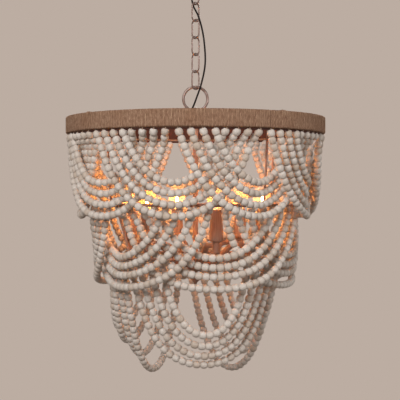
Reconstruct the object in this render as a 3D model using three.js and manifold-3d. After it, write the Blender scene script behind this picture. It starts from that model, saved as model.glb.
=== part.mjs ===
// Beaded chandelier: three tiers of nested bead strings under a twine-wrapped hoop, hung on a link chain.
// Units are millimetres. The origin is the middle of the ceiling face, and everything hangs below it, along -Z.
import * as THREE from "three";
import * as BufferGeometryUtils from "three/addons/utils/BufferGeometryUtils.js";
import Module from "manifold-3d";

const wasm = await Module();
wasm.setup();

// Clearances
const seatGap = 0.3; // between a piece and what it rests on
const overrun = 2; // a cutting tool past the face that it leaves

// Bead strings
const beadDia = 15;
const stringRadius = beadDia / 2;
const beadTouchShare = 0.35; // how much of a string's run, about its lowest bead, changes layer
const rowCount = 4; // strings nested in each group
const layerGap = 2; // between the strings of two groups where they cross
const layerDrop = 28; // fall over which a string reaches its layer
const upperOut = -2; // outer layer of the upper tier, out from the bead wire's circle
const middleOut = 5.5; // outer layer of the middle tier, out from its hoop
const upperSag = 153.5; // how far the longest string of a group hangs
const middleSag = 150;
const lowerFrontSag = 194.5;
const lowerSideSag = 225;

// Wrapped hoop at the top of the shade
const bandOuterDia = 508;
const bandHeight = 32;
const bandWall = 9.7;
const bandRound = 3.2;
const bandSides = 48;
const hoopWall = 2.5;
const hoopLip = 3.3; // twine that folds in over the hoop's edges

// Chain, loop and ring
const linkWireDia = 3.2;
const linkWidth = 22;
const linkInnerLength = 33.7;
const linkCount = 6;
const linkSteps = 16;
const loopWireDia = 4.3;
const loopOuterDia = 25;
const ringWireDia = 5.5;
const ringInnerDia = 42;
const eyeWireDia = 5;
const eyeInnerDia = 14;

// Ceiling plate
const canopyDia = 127;
const canopyDepth = 28;
const canopyWall = 1.2;
const canopyRim = 4;
const canopyHoleGap = 0.7; // between the canopy's hole and the neck, all round
const collarWall = 4.7;
const collarDepth = 6;
const neckDia = 30;
const collarClearance = 0.3;
const neckTopDrop = 14;
const neckFoot = 1.5; // plain neck under the collar
const bossDia = 13;
const barInset = 11.5; // each end of the bar inside the canopy's rim
const barWidth = 16;
const barThickness = 2.5;
const barSlotWidth = 4.5;
const barSlotLength = 22;
const nippleDia = 9.8;
const nippleBoreDia = 6.4;
const nippleLength = 24;
const nutAcross = 16;
const nutThickness = 4;

// Cord
const cordDia = 3.5;
const cordBoreDia = 4.6;
const cordGripDia = 8;
const cordGripHeight = 8;

// Spider and struts
const hubDia = 44;
const hubThickness = 12;
const hubDrop = 1.6; // spider hub's top below the top edge of the band
const spokeWidth = 12;
const spokeThickness = 4;
const strutDia = 4.5;
const strutGap = 4; // what the struts' tops keep beyond two beads inside the bead wire's circle
const shankDia = 5.4;
const shankLength = 24;

// Tier hoops
const hoopDia = 6;
const wireDia = 4;
const upperInset = 8; // bead wire's circle inside the band's outer face
const middleGap = 1; // what the middle hoop keeps beyond three beads inside the bead wire's circle
const lowerGap = 0.5; // what the lower hoop keeps beyond two and a half beads inside the middle hoop
const middleDrop = 138.5; // middle hoop under the band
const lowerDrop = 238.5; // lower hoop under the band
const firstBeadDrop = 3.3; // start of a string under the wire or hoop that carries it

// Candle lamps
const candleCount = 6;
const candleInset = 29; // candles' circle inside the lower hoop
const sleeveHeight = 57.2;
const sleeveFlare = 6; // what the sleeve's foot adds to its mouth
const sleeveWall = 1.2;
const sleeveGap = 1.1; // between the sleeve's mouth and the holder
const ferruleDia = 14;
const ferruleHeight = 22;
const flangeThickness = 1.2;
const flangeInset = 1; // flange's rim inside the sleeve's foot
const holderWall = 1.6;
const holderShort = 3; // holder's mouth below the sleeve's
const capClearance = 0.7;
const socketDepth = 23;
const bulbCapDia = 11.8;
const bulbDia = 35;
const bulbHeight = 62; // above the sleeve
const bulbNeckDia = 14;
const armDia = 11;
const armTopDrop = 10; // arm's level part under the sleeves
const candleDrop = 146.5; // top of the sleeves under the band
const lampHubDia = 32;
const lampHubHeight = 34;
const lampHubDrop = 234; // lamp hub's top under the band
const armLevelShare = 0.6; // arms' level down the hub, as a share of its height
const stemDia = 10;
const finialDia = 20;
const finialHeight = 26;

// Angles, in degrees from the front (-Y), positive towards +X
const upperFirstAngle = 30.5;
const upperHalfAngle = 22.5; // half the spread of a group's shortest string
const upperAngleStep = 5; // what each longer string adds to it
const middleFirstAngle = 11.5;
const middleHalfAngle = 33.75;
const middleAngleStep = 7.5;
const lowerGroupAngles = [7.5, 129.5, 247.5]; // front, right and left
const lowerHalfAngle = 30.2;
const lowerAngleStep = 8.7;
const lowerStrutAngles = [71.5, 191.5, 311.5]; // between two strings of the middle tier
const spokeFirstAngle = 39;
const candleFirstAngle = 17;

// Levels that follow from the sizes above
const collarTop = -(canopyDepth + seatGap);
const neckBottom = collarTop - collarDepth - neckFoot;
const loopRadius = (loopOuterDia - loopWireDia) / 2;
const loopCentre = neckBottom - bossDia / 2 - loopRadius + loopWireDia / 2;
const firstContact = loopCentre - loopRadius + loopWireDia / 2;
const linkPitch = linkInnerLength - seatGap;
const ringContact = firstContact - linkCount * linkPitch;
const ringRadius = (ringInnerDia + ringWireDia) / 2;
const ringCentre = ringContact + seatGap - ringInnerDia / 2;
const eyeRadius = (eyeInnerDia + eyeWireDia) / 2;
const eyeContact = ringCentre - ringInnerDia / 2;
const eyeCentre = eyeContact + seatGap - eyeInnerDia / 2;
const hubTop = eyeCentre - eyeRadius - eyeWireDia / 2;
const bandTop = hubTop + hubDrop;
const bandBottom = bandTop - bandHeight;
const barLength = canopyDia - 2 * barInset;
const canopyHoleDia = neckDia + 2 * canopyHoleGap;
const collarOuterDia = neckDia + 2 * (collarClearance + collarWall);
const bandOuter = bandOuterDia / 2;
const bandInner = bandOuter - bandWall;
const upperRadius = bandOuter - upperInset;
const middleRadius = upperRadius - (3 * beadDia + middleGap);
const lowerRadius = middleRadius - (2.5 * beadDia + lowerGap);
const strutTopRadius = upperRadius - (2 * beadDia + strutGap);
const candleRadius = lowerRadius - candleInset;
const socketDia = bulbCapDia + 2 * capClearance;
const holderDia = socketDia + 2 * holderWall;
const sleeveTopDia = holderDia + 2 * (sleeveGap + sleeveWall);
const sleeveBottomDia = sleeveTopDia + sleeveFlare;
const flangeDia = sleeveBottomDia - 2 * flangeInset;
const stemBoreDia = shankDia + 2 * seatGap;
const middleLevel = bandBottom - middleDrop;
const lowerLevel = bandBottom - lowerDrop;
const sleeveTop = bandBottom - candleDrop;
const sleeveBottom = sleeveTop - sleeveHeight;
const ferruleBottom = sleeveBottom - seatGap - flangeThickness - ferruleHeight;
const lampHubTop = bandBottom - lampHubDrop;
const armLevel = lampHubTop - lampHubHeight * armLevelShare;
const armTop = sleeveBottom - armTopDrop;

const degrees = Math.PI / 180;

// Materials
const material = (name, color, roughness, metalness) =>
  new THREE.MeshStandardMaterial({ name, color, roughness, metalness });
const whitewashedWood = () => material("whitewashed_wood", 0xbfb0a4, 0.75, 0);
const jute = () => material("jute_twine", 0x86654f, 0.95, 0);
const paintedSteel = () => material("painted_steel", 0xa08c80, 0.5, 0.4);
const chainSteel = () => material("antique_chain_steel", 0x86766c, 0.4, 0.7);
const sleevePaint = () => material("clay_painted_sleeve", 0x9c6f5a, 0.7, 0);
const cordRubber = () => material("black_cord", 0x25160f, 0.55, 0);
const bulbGlass = () => material("lit_bulb_glass", 0xfff2dc, 0.15, 0);

const root = new THREE.Group();

// A closed body from any geometry: shared vertices merged, faces turned outwards
function bodyOf(geometry) {
  const bare = geometry.clone();
  bare.deleteAttribute("normal");
  bare.deleteAttribute("uv");
  const merged = BufferGeometryUtils.mergeVertices(bare, 1e-4);
  const vertProperties = new Float32Array(merged.attributes.position.array);
  const triVerts = new Uint32Array(merged.index.array);
  const corner = (i) => new THREE.Vector3().fromArray(vertProperties, triVerts[i] * 3);
  let sixVolumes = 0;
  for (let i = 0; i < triVerts.length; i += 3)
    sixVolumes += corner(i).dot(corner(i + 1).cross(corner(i + 2)));
  if (sixVolumes < 0) triVerts.reverse();
  return new wasm.Manifold(new wasm.Mesh({ numProp: 3, vertProperties, triVerts }));
}

function geometryOf(body) {
  const mesh = body.getMesh();
  const geometry = new THREE.BufferGeometry();
  geometry.setAttribute("position", new THREE.BufferAttribute(mesh.vertProperties, 3));
  geometry.setIndex(new THREE.BufferAttribute(mesh.triVerts, 1));
  geometry.computeVertexNormals();
  return geometry;
}

const joined = (geometries) => geometries.map(bodyOf).reduce((all, one) => all.add(one));

function place(name, body, finish, parent = root) {
  const mesh = new THREE.Mesh(geometryOf(body), finish);
  mesh.name = name;
  parent.add(mesh);
  return mesh;
}

// A turned piece: profile of [radius, height] points, closed or starting and ending on the axis
function turned(profile, sides) {
  const points = profile.map(([radius, height]) => new THREE.Vector2(radius, height));
  return new THREE.LatheGeometry(points, sides).rotateX(Math.PI / 2);
}

const closedProfile = (profile) => [...profile, profile[0]];

const disc = (dia, bottom, top, sides) =>
  turned([[0, bottom], [dia / 2, bottom], [dia / 2, top], [0, top]], sides);

const tube = (outerDia, boreDia, bottom, top, sides) =>
  turned(
    closedProfile([
      [boreDia / 2, bottom],
      [outerDia / 2, bottom],
      [outerDia / 2, top],
      [boreDia / 2, top],
    ]),
    sides,
  );

// A round section of a few flat sides, swept along a path; cornerTo turns a corner that way at mid-path
function sweep(path, dia, sides, steps, cornerTo) {
  let firstTurn = Math.PI / sides;
  if (cornerTo) {
    const frames = path.computeFrenetFrames(steps, false);
    const middle = steps / 2;
    firstTurn = Math.atan2(cornerTo.dot(frames.binormals[middle]), cornerTo.dot(frames.normals[middle]));
  }
  const section = new THREE.Shape();
  for (let i = 0; i < sides; i++) {
    const turn = firstTurn + (2 * Math.PI * i) / sides;
    const x = (dia / 2) * Math.cos(turn);
    const y = (dia / 2) * Math.sin(turn);
    if (i) section.lineTo(x, y);
    else section.moveTo(x, y);
  }
  section.closePath();
  return new THREE.ExtrudeGeometry(section, { steps, bevelEnabled: false, extrudePath: path });
}

// A point at a radius, height and angle from the front
function around(radius, height, angle) {
  const turn = angle * degrees;
  return new THREE.Vector3(radius * Math.sin(turn), -radius * Math.cos(turn), height);
}

const rod = (from, to, dia, sides) => sweep(new THREE.LineCurve3(from, to), dia, sides, 1);

const ringOf = (radius, wire, height, sides, steps) =>
  new THREE.TorusGeometry(radius, wire / 2, sides, steps).translate(0, 0, height);

// A chain link's centre line, from its lowest point: two straight sides and two half circles
class LinkLine extends THREE.Curve {
  getPoint(t) {
    const bend = (linkWidth - linkWireDia) / 2;
    const straight = linkInnerLength + linkWireDia - 2 * bend;
    const half = straight + Math.PI * bend;
    const run = (t % 1) * 2 * half + (Math.PI * bend) / 2;
    const side = Math.floor(run / half) % 2 ? -1 : 1;
    const along = run % half;
    const turn = along / bend;
    if (turn < Math.PI) {
      const fall = straight / 2 + bend * Math.sin(turn);
      return new THREE.Vector3(-side * bend * Math.cos(turn), 0, -side * fall);
    }
    return new THREE.Vector3(side * bend, 0, side * (along - Math.PI * bend - straight / 2));
  }
}

// Ceiling plate: bar, nipple, nut and the loop that the chain hangs on
const barHole = disc(nippleDia + 2 * seatGap, -barThickness - overrun, overrun, 24);
const barSlots = [-1, 1].map((side) =>
  new THREE.BoxGeometry(barSlotLength, barSlotWidth, barThickness + 2 * overrun).translate(
    side * (barLength / 2 - barSlotLength),
    0,
    -barThickness / 2,
  ),
);
const bar = bodyOf(
  new THREE.BoxGeometry(barLength, barWidth, barThickness).translate(0, 0, -barThickness / 2),
);
place(
  "crossbar",
  [barHole, ...barSlots].map(bodyOf).reduce((left, cut) => left.subtract(cut), bar),
  paintedSteel(),
);
place(
  "threaded_nipple",
  bodyOf(tube(nippleDia, nippleBoreDia, -nippleLength - seatGap, -seatGap, 16)),
  chainSteel(),
);
const nutTop = -barThickness - seatGap;
place(
  "locknut",
  bodyOf(disc(nutAcross / Math.cos(30 * degrees), nutTop - nutThickness, nutTop, 6)).subtract(
    bodyOf(disc(nippleDia + 2 * seatGap, nutTop - nutThickness - overrun, nutTop + overrun, 24)),
  ),
  chainSteel(),
);

// The loop's threaded neck carries the canopy's collar, and its bore lets the cord through
const neckTop = -neckTopDrop;
const bossBottom = loopCentre + loopRadius - loopWireDia / 2 - seatGap;
const neck = turned(
  [[0, bossBottom], [bossDia / 2, bossBottom], [bossDia / 2, neckBottom - bossDia / 4],
    [neckDia / 2, neckBottom], [neckDia / 2, neckTop], [0, neckTop]],
  24,
);
const loopRing = ringOf(loopRadius, loopWireDia, 0, 6, 22)
  .rotateX(Math.PI / 2)
  .rotateZ(Math.PI / 4)
  .translate(0, 0, loopCentre);
const neckSocket = disc(nippleDia + 2 * seatGap, -nippleLength - 2 * seatGap, neckTop + overrun, 24);
const neckBore = disc(cordBoreDia, bossBottom - overrun, neckTop + overrun, 12);
place(
  "ceiling_loop",
  joined([neck, loopRing]).subtract(bodyOf(neckSocket)).subtract(bodyOf(neckBore)),
  chainSteel(),
);

// Canopy and its screw collar, which slide down the chain together
const canopyOuter = canopyDia / 2;
const canopyHole = canopyHoleDia / 2;
const domeShares = [[1, 0], [0.95, 0.34], [0.78, 0.66], [0.5, 0.9], [0.3, 1]];
const domeRadius = (share, wall) => canopyHole + share * (canopyOuter - wall - canopyHole);
const domeDepth = canopyDepth - canopyRim;
const canopyProfile = [[canopyOuter, 0]];
for (const [out, down] of domeShares)
  canopyProfile.push([domeRadius(out, 0), -canopyRim - down * domeDepth]);
canopyProfile.push([canopyHole, -canopyDepth]);
canopyProfile.push([canopyHole, -canopyDepth + canopyWall]);
for (const [out, down] of [...domeShares].reverse())
  canopyProfile.push([domeRadius(out, canopyWall), -canopyRim - down * domeDepth + canopyWall]);
canopyProfile.push([canopyOuter - canopyWall, 0]);
place("canopy", bodyOf(turned(closedProfile(canopyProfile), 24)), paintedSteel());
place(
  "canopy_collar",
  bodyOf(tube(collarOuterDia, neckDia + 2 * collarClearance, collarTop - collarDepth, collarTop, 24)),
  chainSteel(),
);

// Chain: each link hangs in the one above and is turned a quarter from it
for (let i = 0; i < linkCount; i++) {
  const top = firstContact - i * linkPitch;
  const link = place(
    `chain_link_${i + 1}`,
    bodyOf(new THREE.TubeGeometry(new LinkLine(), linkSteps, linkWireDia / 2, 6, true)),
    chainSteel(),
  );
  link.rotation.z = i % 2 ? Math.PI / 4 : -Math.PI / 4;
  link.position.z = top + seatGap - linkInnerLength / 2;
}
const hangingRing = ringOf(ringRadius, ringWireDia, 0, 6, 28)
  .rotateX(Math.PI / 2)
  .translate(0, 0, ringCentre);
place("hanging_ring", bodyOf(hangingRing), chainSteel());

// Eye bolt through the spider's hub, across the ring
const eyeRing = ringOf(eyeRadius, eyeWireDia, 0, 6, 20)
  .rotateY(Math.PI / 2)
  .translate(0, 0, eyeCentre);
const shankTop = eyeCentre - eyeRadius;
place(
  "frame_eye",
  joined([eyeRing, disc(shankDia, hubTop - shankLength, shankTop, 12)]),
  chainSteel(),
);

// Spider: hub, four spokes and the steel hoop inside the twine
const hubBottom = hubTop - hubThickness;
const hoopTop = bandTop - hoopLip - seatGap;
const hoopBottom = bandBottom + hoopLip + seatGap;
const spokeTop = hubTop - (hubThickness - spokeThickness) / 2;
const spokeBottom = spokeTop - spokeThickness;
const hoop = tube(2 * (bandInner + hoopWall), 2 * bandInner, hoopBottom, hoopTop, bandSides);
const spokes = [];
for (let i = 0; i < 4; i++)
  spokes.push(
    new THREE.BoxGeometry(spokeWidth, bandInner + hoopWall / 2, spokeThickness)
      .translate(0, -(bandInner + hoopWall / 2) / 2, (spokeTop + spokeBottom) / 2)
      .rotateZ((spokeFirstAngle + 90 * i) * degrees),
  );
const shankHole = disc(shankDia + 2 * seatGap, hubBottom - overrun, hubTop + overrun, 12);
place(
  "spider_hoop",
  joined([disc(hubDia, hubBottom, hubTop, 24), ...spokes, hoop]).subtract(bodyOf(shankHole)),
  paintedSteel(),
);

// Twine wrap: closed round the outside, top and bottom of the hoop, open along its inner face
const wrapRecess = bandInner + hoopWall + seatGap;
const softCorner = (level, side) => [
  [bandOuter - bandRound, level],
  [bandOuter, level - side * bandRound],
];
place(
  "twine_wrapped_band",
  bodyOf(
    turned(
      closedProfile([
        [bandInner, bandTop],
        ...softCorner(bandTop, 1),
        ...softCorner(bandBottom, -1).reverse(),
        [bandInner, bandBottom],
        [bandInner, bandBottom + hoopLip],
        [wrapRecess, bandBottom + hoopLip],
        [wrapRecess, bandTop - hoopLip],
        [bandInner, bandTop - hoopLip],
      ]),
      bandSides,
    ),
  ),
  jute(),
);

// Struts: four from the spokes down to the middle hoop, three from there to the lower hoop
const strutRadius = strutDia / 2;
for (let i = 0; i < 4; i++) {
  const angle = spokeFirstAngle + 90 * i;
  const from = around(strutTopRadius, spokeBottom - 2 * seatGap, angle);
  const to = around(middleRadius, middleLevel + hoopDia / 2 + seatGap, angle);
  place(`upper_strut_${i + 1}`, bodyOf(rod(from, to, strutDia, 8)), paintedSteel());
}
for (const [i, angle] of lowerStrutAngles.entries()) {
  const from = around(middleRadius - hoopDia / 2 - strutRadius - 2 * seatGap, middleLevel, angle);
  const to = around(lowerRadius, lowerLevel + hoopDia / 2 + seatGap, angle);
  place(`lower_strut_${i + 1}`, bodyOf(rod(from, to, strutDia, 8)), paintedSteel());
}

// A bead string between two points of its hoop: the curve of a hanging chain, pushed out against the
// strings under it, and moved in or out a layer where it crosses the strings of the next group
const smooth = (x) => {
  const share = Math.min(1, Math.max(0, x));
  return share * share * (3 - 2 * share);
};

function chainShape(halfSpan, sag) {
  let low = halfSpan / 12;
  let high = halfSpan * 50;
  for (let i = 0; i < 60; i++) {
    const middle = (low + high) / 2;
    if (middle * (Math.cosh(halfSpan / middle) - 1) > sag) low = middle;
    else high = middle;
  }
  return (low + high) / 2;
}

class BeadString extends THREE.Curve {
  constructor(tier, group, row) {
    super();
    const half = (tier.halfAngle + row * tier.angleStep) * degrees;
    Object.assign(this, { tier, centre: group.centre, layers: tier.layers });
    this.pushShare = group.pushShares[row];
    this.halfSpan = tier.radius * Math.sin(half);
    this.chord = tier.radius * Math.cos(half);
    this.shape = chainShape(this.halfSpan, group.sag * group.sagShares[row]);
    this.steepest = Math.asinh(Math.sinh(this.halfSpan / this.shape));
  }
  getPoint(t) {
    const { tier, shape, halfSpan } = this;
    const across = shape * this.steepest * (2 * t - 1);
    const rise = shape * (Math.cosh(across / shape) - Math.cosh(halfSpan / shape));
    const chordRadius = Math.hypot(across, this.chord);
    const pushed = tier.radius - (tier.radius - chordRadius) * (1 - this.pushShare);
    const under = smooth(-rise / layerDrop);
    const swap = smooth((across / halfSpan / beadTouchShare + 1) / 2);
    const layer = this.layers[0] + (this.layers[1] - this.layers[0]) * swap;
    const angle = this.centre + Math.atan2(across, this.chord) / degrees;
    return around(pushed + layer * under, tier.level + rise, angle);
  }
  getPointAt(u) {
    return this.getPoint(u);
  }
  getTangentAt(u) {
    return this.getTangent(u);
  }
}

// Each tier's groups, each with its strings' sags and pushes, the shortest string first
const evenGroups = (count, first, kindOf) =>
  Array.from({ length: count }, (_, i) => ({ centre: first + (i * 360) / count, ...kindOf(i) }));
const upperGroup = {
  sag: upperSag,
  sagShares: [0.603, 0.733, 0.866, 1],
  pushShares: [0.48, 0.5, 0.6, 0.78],
};
const middleGroup = {
  sag: middleSag,
  sagShares: [0.625, 0.74, 0.853, 1],
  pushShares: [0.6, 0.74, 0.79, 0.82],
};
const middleGroupOverBareHoop = { ...middleGroup, pushShares: [0.5, 0.66, 0.76, 0.84] };
const middleFrontGroup = { ...middleGroup, pushShares: [0.6, 0.74, 0.82, 0.86] };
const middleGroups = [
  middleFrontGroup,
  middleGroup,
  middleGroupOverBareHoop,
  middleGroup,
  middleGroupOverBareHoop,
  middleGroup,
];
const lowerFrontGroup = {
  sag: lowerFrontSag,
  sagShares: [0.7, 0.81, 0.91, 1],
  pushShares: [0.75, 0.5, 0.45, 0.45],
};
const lowerRightGroup = {
  sag: lowerSideSag,
  sagShares: [0.63, 0.73, 0.862, 1],
  pushShares: [0, 0, 0, 0],
};
const lowerLeftGroup = {
  sag: lowerSideSag,
  sagShares: [0.65, 0.755, 0.867, 0.996],
  pushShares: [0.9, 0.5, 0.1, 0],
};
const lowerGroups = [lowerFrontGroup, lowerRightGroup, lowerLeftGroup];
const layerStep = beadDia + layerGap;
const tiers = [
  {
    name: "upper_bead_tier",
    groups: evenGroups(9, upperFirstAngle, () => upperGroup),
    halfAngle: upperHalfAngle,
    angleStep: upperAngleStep,
    steps: 8,
    radius: upperRadius,
    carrier: bandBottom - seatGap - wireDia / 2,
    carrierDia: wireDia,
    layers: [upperOut, upperOut - layerStep],
  },
  {
    name: "middle_bead_tier",
    groups: evenGroups(6, middleFirstAngle, (i) => middleGroups[i]),
    halfAngle: middleHalfAngle,
    angleStep: middleAngleStep,
    steps: 8,
    radius: middleRadius,
    carrier: middleLevel,
    carrierDia: hoopDia,
    layers: [middleOut - layerStep, middleOut],
  },
  {
    name: "lower_bead_tier",
    groups: lowerGroups.map((group, i) => ({ centre: lowerGroupAngles[i], ...group })),
    halfAngle: lowerHalfAngle,
    angleStep: lowerAngleStep,
    steps: 12,
    radius: lowerRadius,
    carrier: lowerLevel,
    carrierDia: hoopDia,
    layers: [0, 0],
  },
];

const down = new THREE.Vector3(0, 0, -1);
for (const tier of tiers) {
  tier.level = tier.carrier - firstBeadDrop + tier.carrierDia / 4;
  const pieces = [ringOf(tier.radius, tier.carrierDia, tier.carrier, 4, 36)];
  for (const group of tier.groups)
    for (let row = 0; row < rowCount; row++)
      pieces.push(sweep(new BeadString(tier, group, row), beadDia, 3, tier.steps, down));
  place(tier.name, joined(pieces), whitewashedWood());
}

// Lamp hub, its stem from the spider, and the finial that closes it
const hubRadius = lampHubDia / 2;
const lampHubShares = [[0.5, 0], [0.62, 0.16], [1, 0.36], [1, 0.84], [0.6, 1]];
const lampHubProfile = [
  [stemBoreDia / 2, 0],
  ...lampHubShares.map(([out, along]) => [out * hubRadius, -along * lampHubHeight]),
  [stemBoreDia / 2, -lampHubHeight],
];
const lampHubShape = turned(closedProfile(lampHubProfile), candleCount * 2)
  .rotateZ((candleFirstAngle + 90 / candleCount) * degrees)
  .translate(0, 0, lampHubTop);
place("lamp_hub", bodyOf(lampHubShape), paintedSteel());
place(
  "centre_stem",
  bodyOf(tube(stemDia, stemBoreDia, lampHubTop + seatGap, hubBottom - seatGap, 16)),
  paintedSteel(),
);
const finialRadius = finialDia / 2;
const finialTop = lampHubTop - lampHubHeight - seatGap;
const finialShares = [
  [0, 0], [0.55, 0], [0.5, 0.12], [1, 0.42], [0.86, 0.66], [0.36, 0.84], [0.3, 0.92], [0, 1],
];
const finialProfile = finialShares.map(([out, along]) => [
  out * finialRadius,
  finialTop - along * finialHeight,
]);
place("finial", bodyOf(turned(finialProfile, 16)), paintedSteel());

// Candle lamps: arm, holder, sleeve and bulb, modelled once and turned round the stem
const armStart = hubRadius * Math.cos(Math.PI / (candleCount * 2)) + seatGap;
const armEnd = candleRadius - ferruleDia / 2 - seatGap;
const armReach = armEnd - armStart;
const armRise = armTop - armLevel;
const armShares = [
  [0, 0], [0.06, 0], [0.2, 0.12], [0.34, 0.46], [0.46, 0.8], [0.58, 0.96], [0.74, 1], [0.94, 1], [1, 1],
];
const armPath = new THREE.CatmullRomCurve3(
  armShares.map(([out, up]) => around(armStart + out * armReach, armLevel + up * armRise, 0)),
);
const sleeveOuterBottom = sleeveBottomDia / 2;
const sleeveOuterTop = sleeveTopDia / 2;
const flangeTop = sleeveBottom - seatGap;
const holderTop = sleeveTop - holderShort;
const socketBottom = holderTop - socketDepth;
const holderProfile = [
  [0, ferruleBottom],
  [ferruleDia / 2, ferruleBottom],
  [ferruleDia / 2, flangeTop - flangeThickness],
  [flangeDia / 2, flangeTop - flangeThickness],
  [flangeDia / 2, flangeTop],
  [holderDia / 2, flangeTop],
  [holderDia / 2, holderTop],
  [socketDia / 2, holderTop],
  [socketDia / 2, socketBottom],
  [0, socketBottom],
];
const sleeveProfile = [
  [sleeveOuterBottom - sleeveWall, sleeveBottom],
  [sleeveOuterBottom, sleeveBottom],
  [sleeveOuterTop, sleeveTop],
  [sleeveOuterTop - sleeveWall, sleeveTop],
];
const capBottom = socketBottom + seatGap;
const capTipShare = 0.7; // flat of the bulb's cap, as a share of its width
const capTaperShare = 0.2; // height of its taper, as a share of its width
const bulbShares = [[0.52, 0.06], [0.9, 0.22], [1, 0.38], [0.86, 0.6], [0.5, 0.84], [0.16, 0.97]];
const bulbProfile = [
  [0, capBottom],
  [(bulbCapDia / 2) * capTipShare, capBottom],
  [bulbCapDia / 2, capBottom + bulbCapDia * capTaperShare],
  [bulbCapDia / 2, holderTop],
  [bulbNeckDia / 2, sleeveTop],
  ...bulbShares.map(([out, up]) => [(out * bulbDia) / 2, sleeveTop + up * bulbHeight]),
  [0, sleeveTop + bulbHeight],
];
for (let i = 0; i < candleCount; i++) {
  const arm = new THREE.Group();
  arm.rotation.z = (candleFirstAngle + (i * 360) / candleCount) * degrees;
  root.add(arm);
  place(`lamp_arm_${i + 1}`, bodyOf(sweep(armPath, armDia, 6, 9)), paintedSteel(), arm);
  const candle = new THREE.Group();
  candle.position.y = -candleRadius;
  arm.add(candle);
  place(`lampholder_${i + 1}`, bodyOf(turned(holderProfile, 8)), paintedSteel(), candle);
  place(`candle_sleeve_${i + 1}`, bodyOf(turned(closedProfile(sleeveProfile), 12)), sleevePaint(), candle);
  place(`bulb_${i + 1}`, bodyOf(turned(bulbProfile, 10)), bulbGlass(), candle);
}

// Cord: down the nipple, through the second link, beside the chain and into its grip on the spider's hub
const cordRoute = [
  [0, 0, -1], [0, 0, -18], [0, 0, -34], [0, 0, -43], [-1.2, 0, -47.5], [-3.3, 0, -51.8],
  [-5.2, 0, -56.2], [-6.3, 0, -61.5], [-7, 0, -69], [-7.2, 0, -78], [-6.6, 0, -87.5],
  [-4.2, 0, -97], [0, 0, -105.6], [4.4, 0, -114], [9.2, -0.2, -128], [13.3, -0.5, -144.5],
  [16.2, -0.9, -161], [18.1, -1.5, -179], [19.2, -2.4, -198], [18.8, -3.6, -212],
  [16.8, -5, -227], [13.4, -6.4, -242.5], [9.8, -7.4, -256], [5.6, -8.2, -268.5],
  [1.6, -9, -279.5], [-2.2, -9.8, -290], [-6, -10.6, -298.5], [-8.6, -11, -305.5],
];
const gripTop = hubTop + cordGripHeight;
const [gripX, gripY] = [-9.5, -11];
const cordPoints = cordRoute.map(([x, y, z]) => new THREE.Vector3(x, y, z));
cordPoints.push(new THREE.Vector3(gripX, gripY, gripTop + seatGap));
const cordPath = new THREE.CatmullRomCurve3(cordPoints);
place("supply_cord", bodyOf(sweep(cordPath, cordDia, 8, 30)), cordRubber());
place(
  "cord_grip",
  bodyOf(disc(cordGripDia, hubTop + seatGap, gripTop, 12).translate(gripX, gripY, 0)),
  cordRubber(),
);

export default root;
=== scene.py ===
import bpy
import bmesh
import math
import random
from mathutils import Matrix, Vector


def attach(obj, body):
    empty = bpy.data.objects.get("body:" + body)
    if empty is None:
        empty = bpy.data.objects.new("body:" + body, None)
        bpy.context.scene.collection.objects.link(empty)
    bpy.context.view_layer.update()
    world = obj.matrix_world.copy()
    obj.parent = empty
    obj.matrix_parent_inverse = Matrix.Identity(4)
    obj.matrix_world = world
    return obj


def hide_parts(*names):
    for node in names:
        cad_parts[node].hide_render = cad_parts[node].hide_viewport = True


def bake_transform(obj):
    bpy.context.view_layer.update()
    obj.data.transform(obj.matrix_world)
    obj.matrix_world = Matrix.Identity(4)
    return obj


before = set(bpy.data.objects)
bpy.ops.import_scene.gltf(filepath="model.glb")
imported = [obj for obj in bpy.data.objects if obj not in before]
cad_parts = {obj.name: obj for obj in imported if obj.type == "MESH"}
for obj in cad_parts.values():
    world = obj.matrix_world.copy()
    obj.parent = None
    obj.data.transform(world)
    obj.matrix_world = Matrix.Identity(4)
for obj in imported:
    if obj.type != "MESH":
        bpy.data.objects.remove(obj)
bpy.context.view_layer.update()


# Studio
# A level camera stands straight in front of the lamp, at the height of the bulbs. A wide pale floor lies
# far below the hanging lamp, and soft daylight comes from the front left, as the beads' highlights show.
def paint(code):
    """The linear colour of an sRGB hex code."""
    shares = [int(code[i : i + 2], 16) / 255 for i in (0, 2, 4)]
    linear = [s / 12.92 if s <= 0.04045 else ((s + 0.055) / 1.055) ** 2.4 for s in shares]
    return (*linear, 1.0)


def add_node(tree, kind, links=(), stops=(), **settings):
    """Adds a shader node with its links, colour ramp stops, socket values (in_NAME) and settings."""
    node = tree.nodes.new("ShaderNode" + kind)
    for name, value in settings.items():
        if name.startswith("in_"):
            key = name[3:].replace("_", " ")
            node.inputs[int(key) if key.isdigit() else key].default_value = value
        else:
            setattr(node, name, value)
    for i, (place, code) in enumerate(stops):
        node.color_ramp.elements[i].position = place
        node.color_ramp.elements[i].color = paint(code)
    for source, target in links:
        tree.links.new(source, node.inputs[target])
    return node


def new_material(name):
    """A new material, with its node tree and its main shader."""
    material = bpy.data.materials.new(name)
    material.use_nodes = True
    tree = material.node_tree
    return material, tree, tree.nodes["Principled BSDF"]


def deselect():
    """Leaves edit mode and deselects everything."""
    if bpy.context.object and bpy.context.object.mode != "OBJECT":
        bpy.ops.object.mode_set(mode="OBJECT")
    bpy.ops.object.select_all(action="DESELECT")


eye_height = -0.4784
eye_distance = 2.203
eye_shift = 0.0088
sensor_width = 36
focal_pixels = 1120
frame_pixels = 400
deselect()
bpy.ops.object.camera_add(location=(eye_shift, -eye_distance, eye_height), rotation=(math.pi / 2, 0, 0))
camera = bpy.context.object
camera.data.sensor_width = sensor_width
camera.data.lens = sensor_width * focal_pixels / frame_pixels
camera.data.clip_start = 0.05
camera.data.clip_end = 60
bpy.context.scene.camera = camera
bpy.context.scene.view_settings.view_transform = "Standard"

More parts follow.
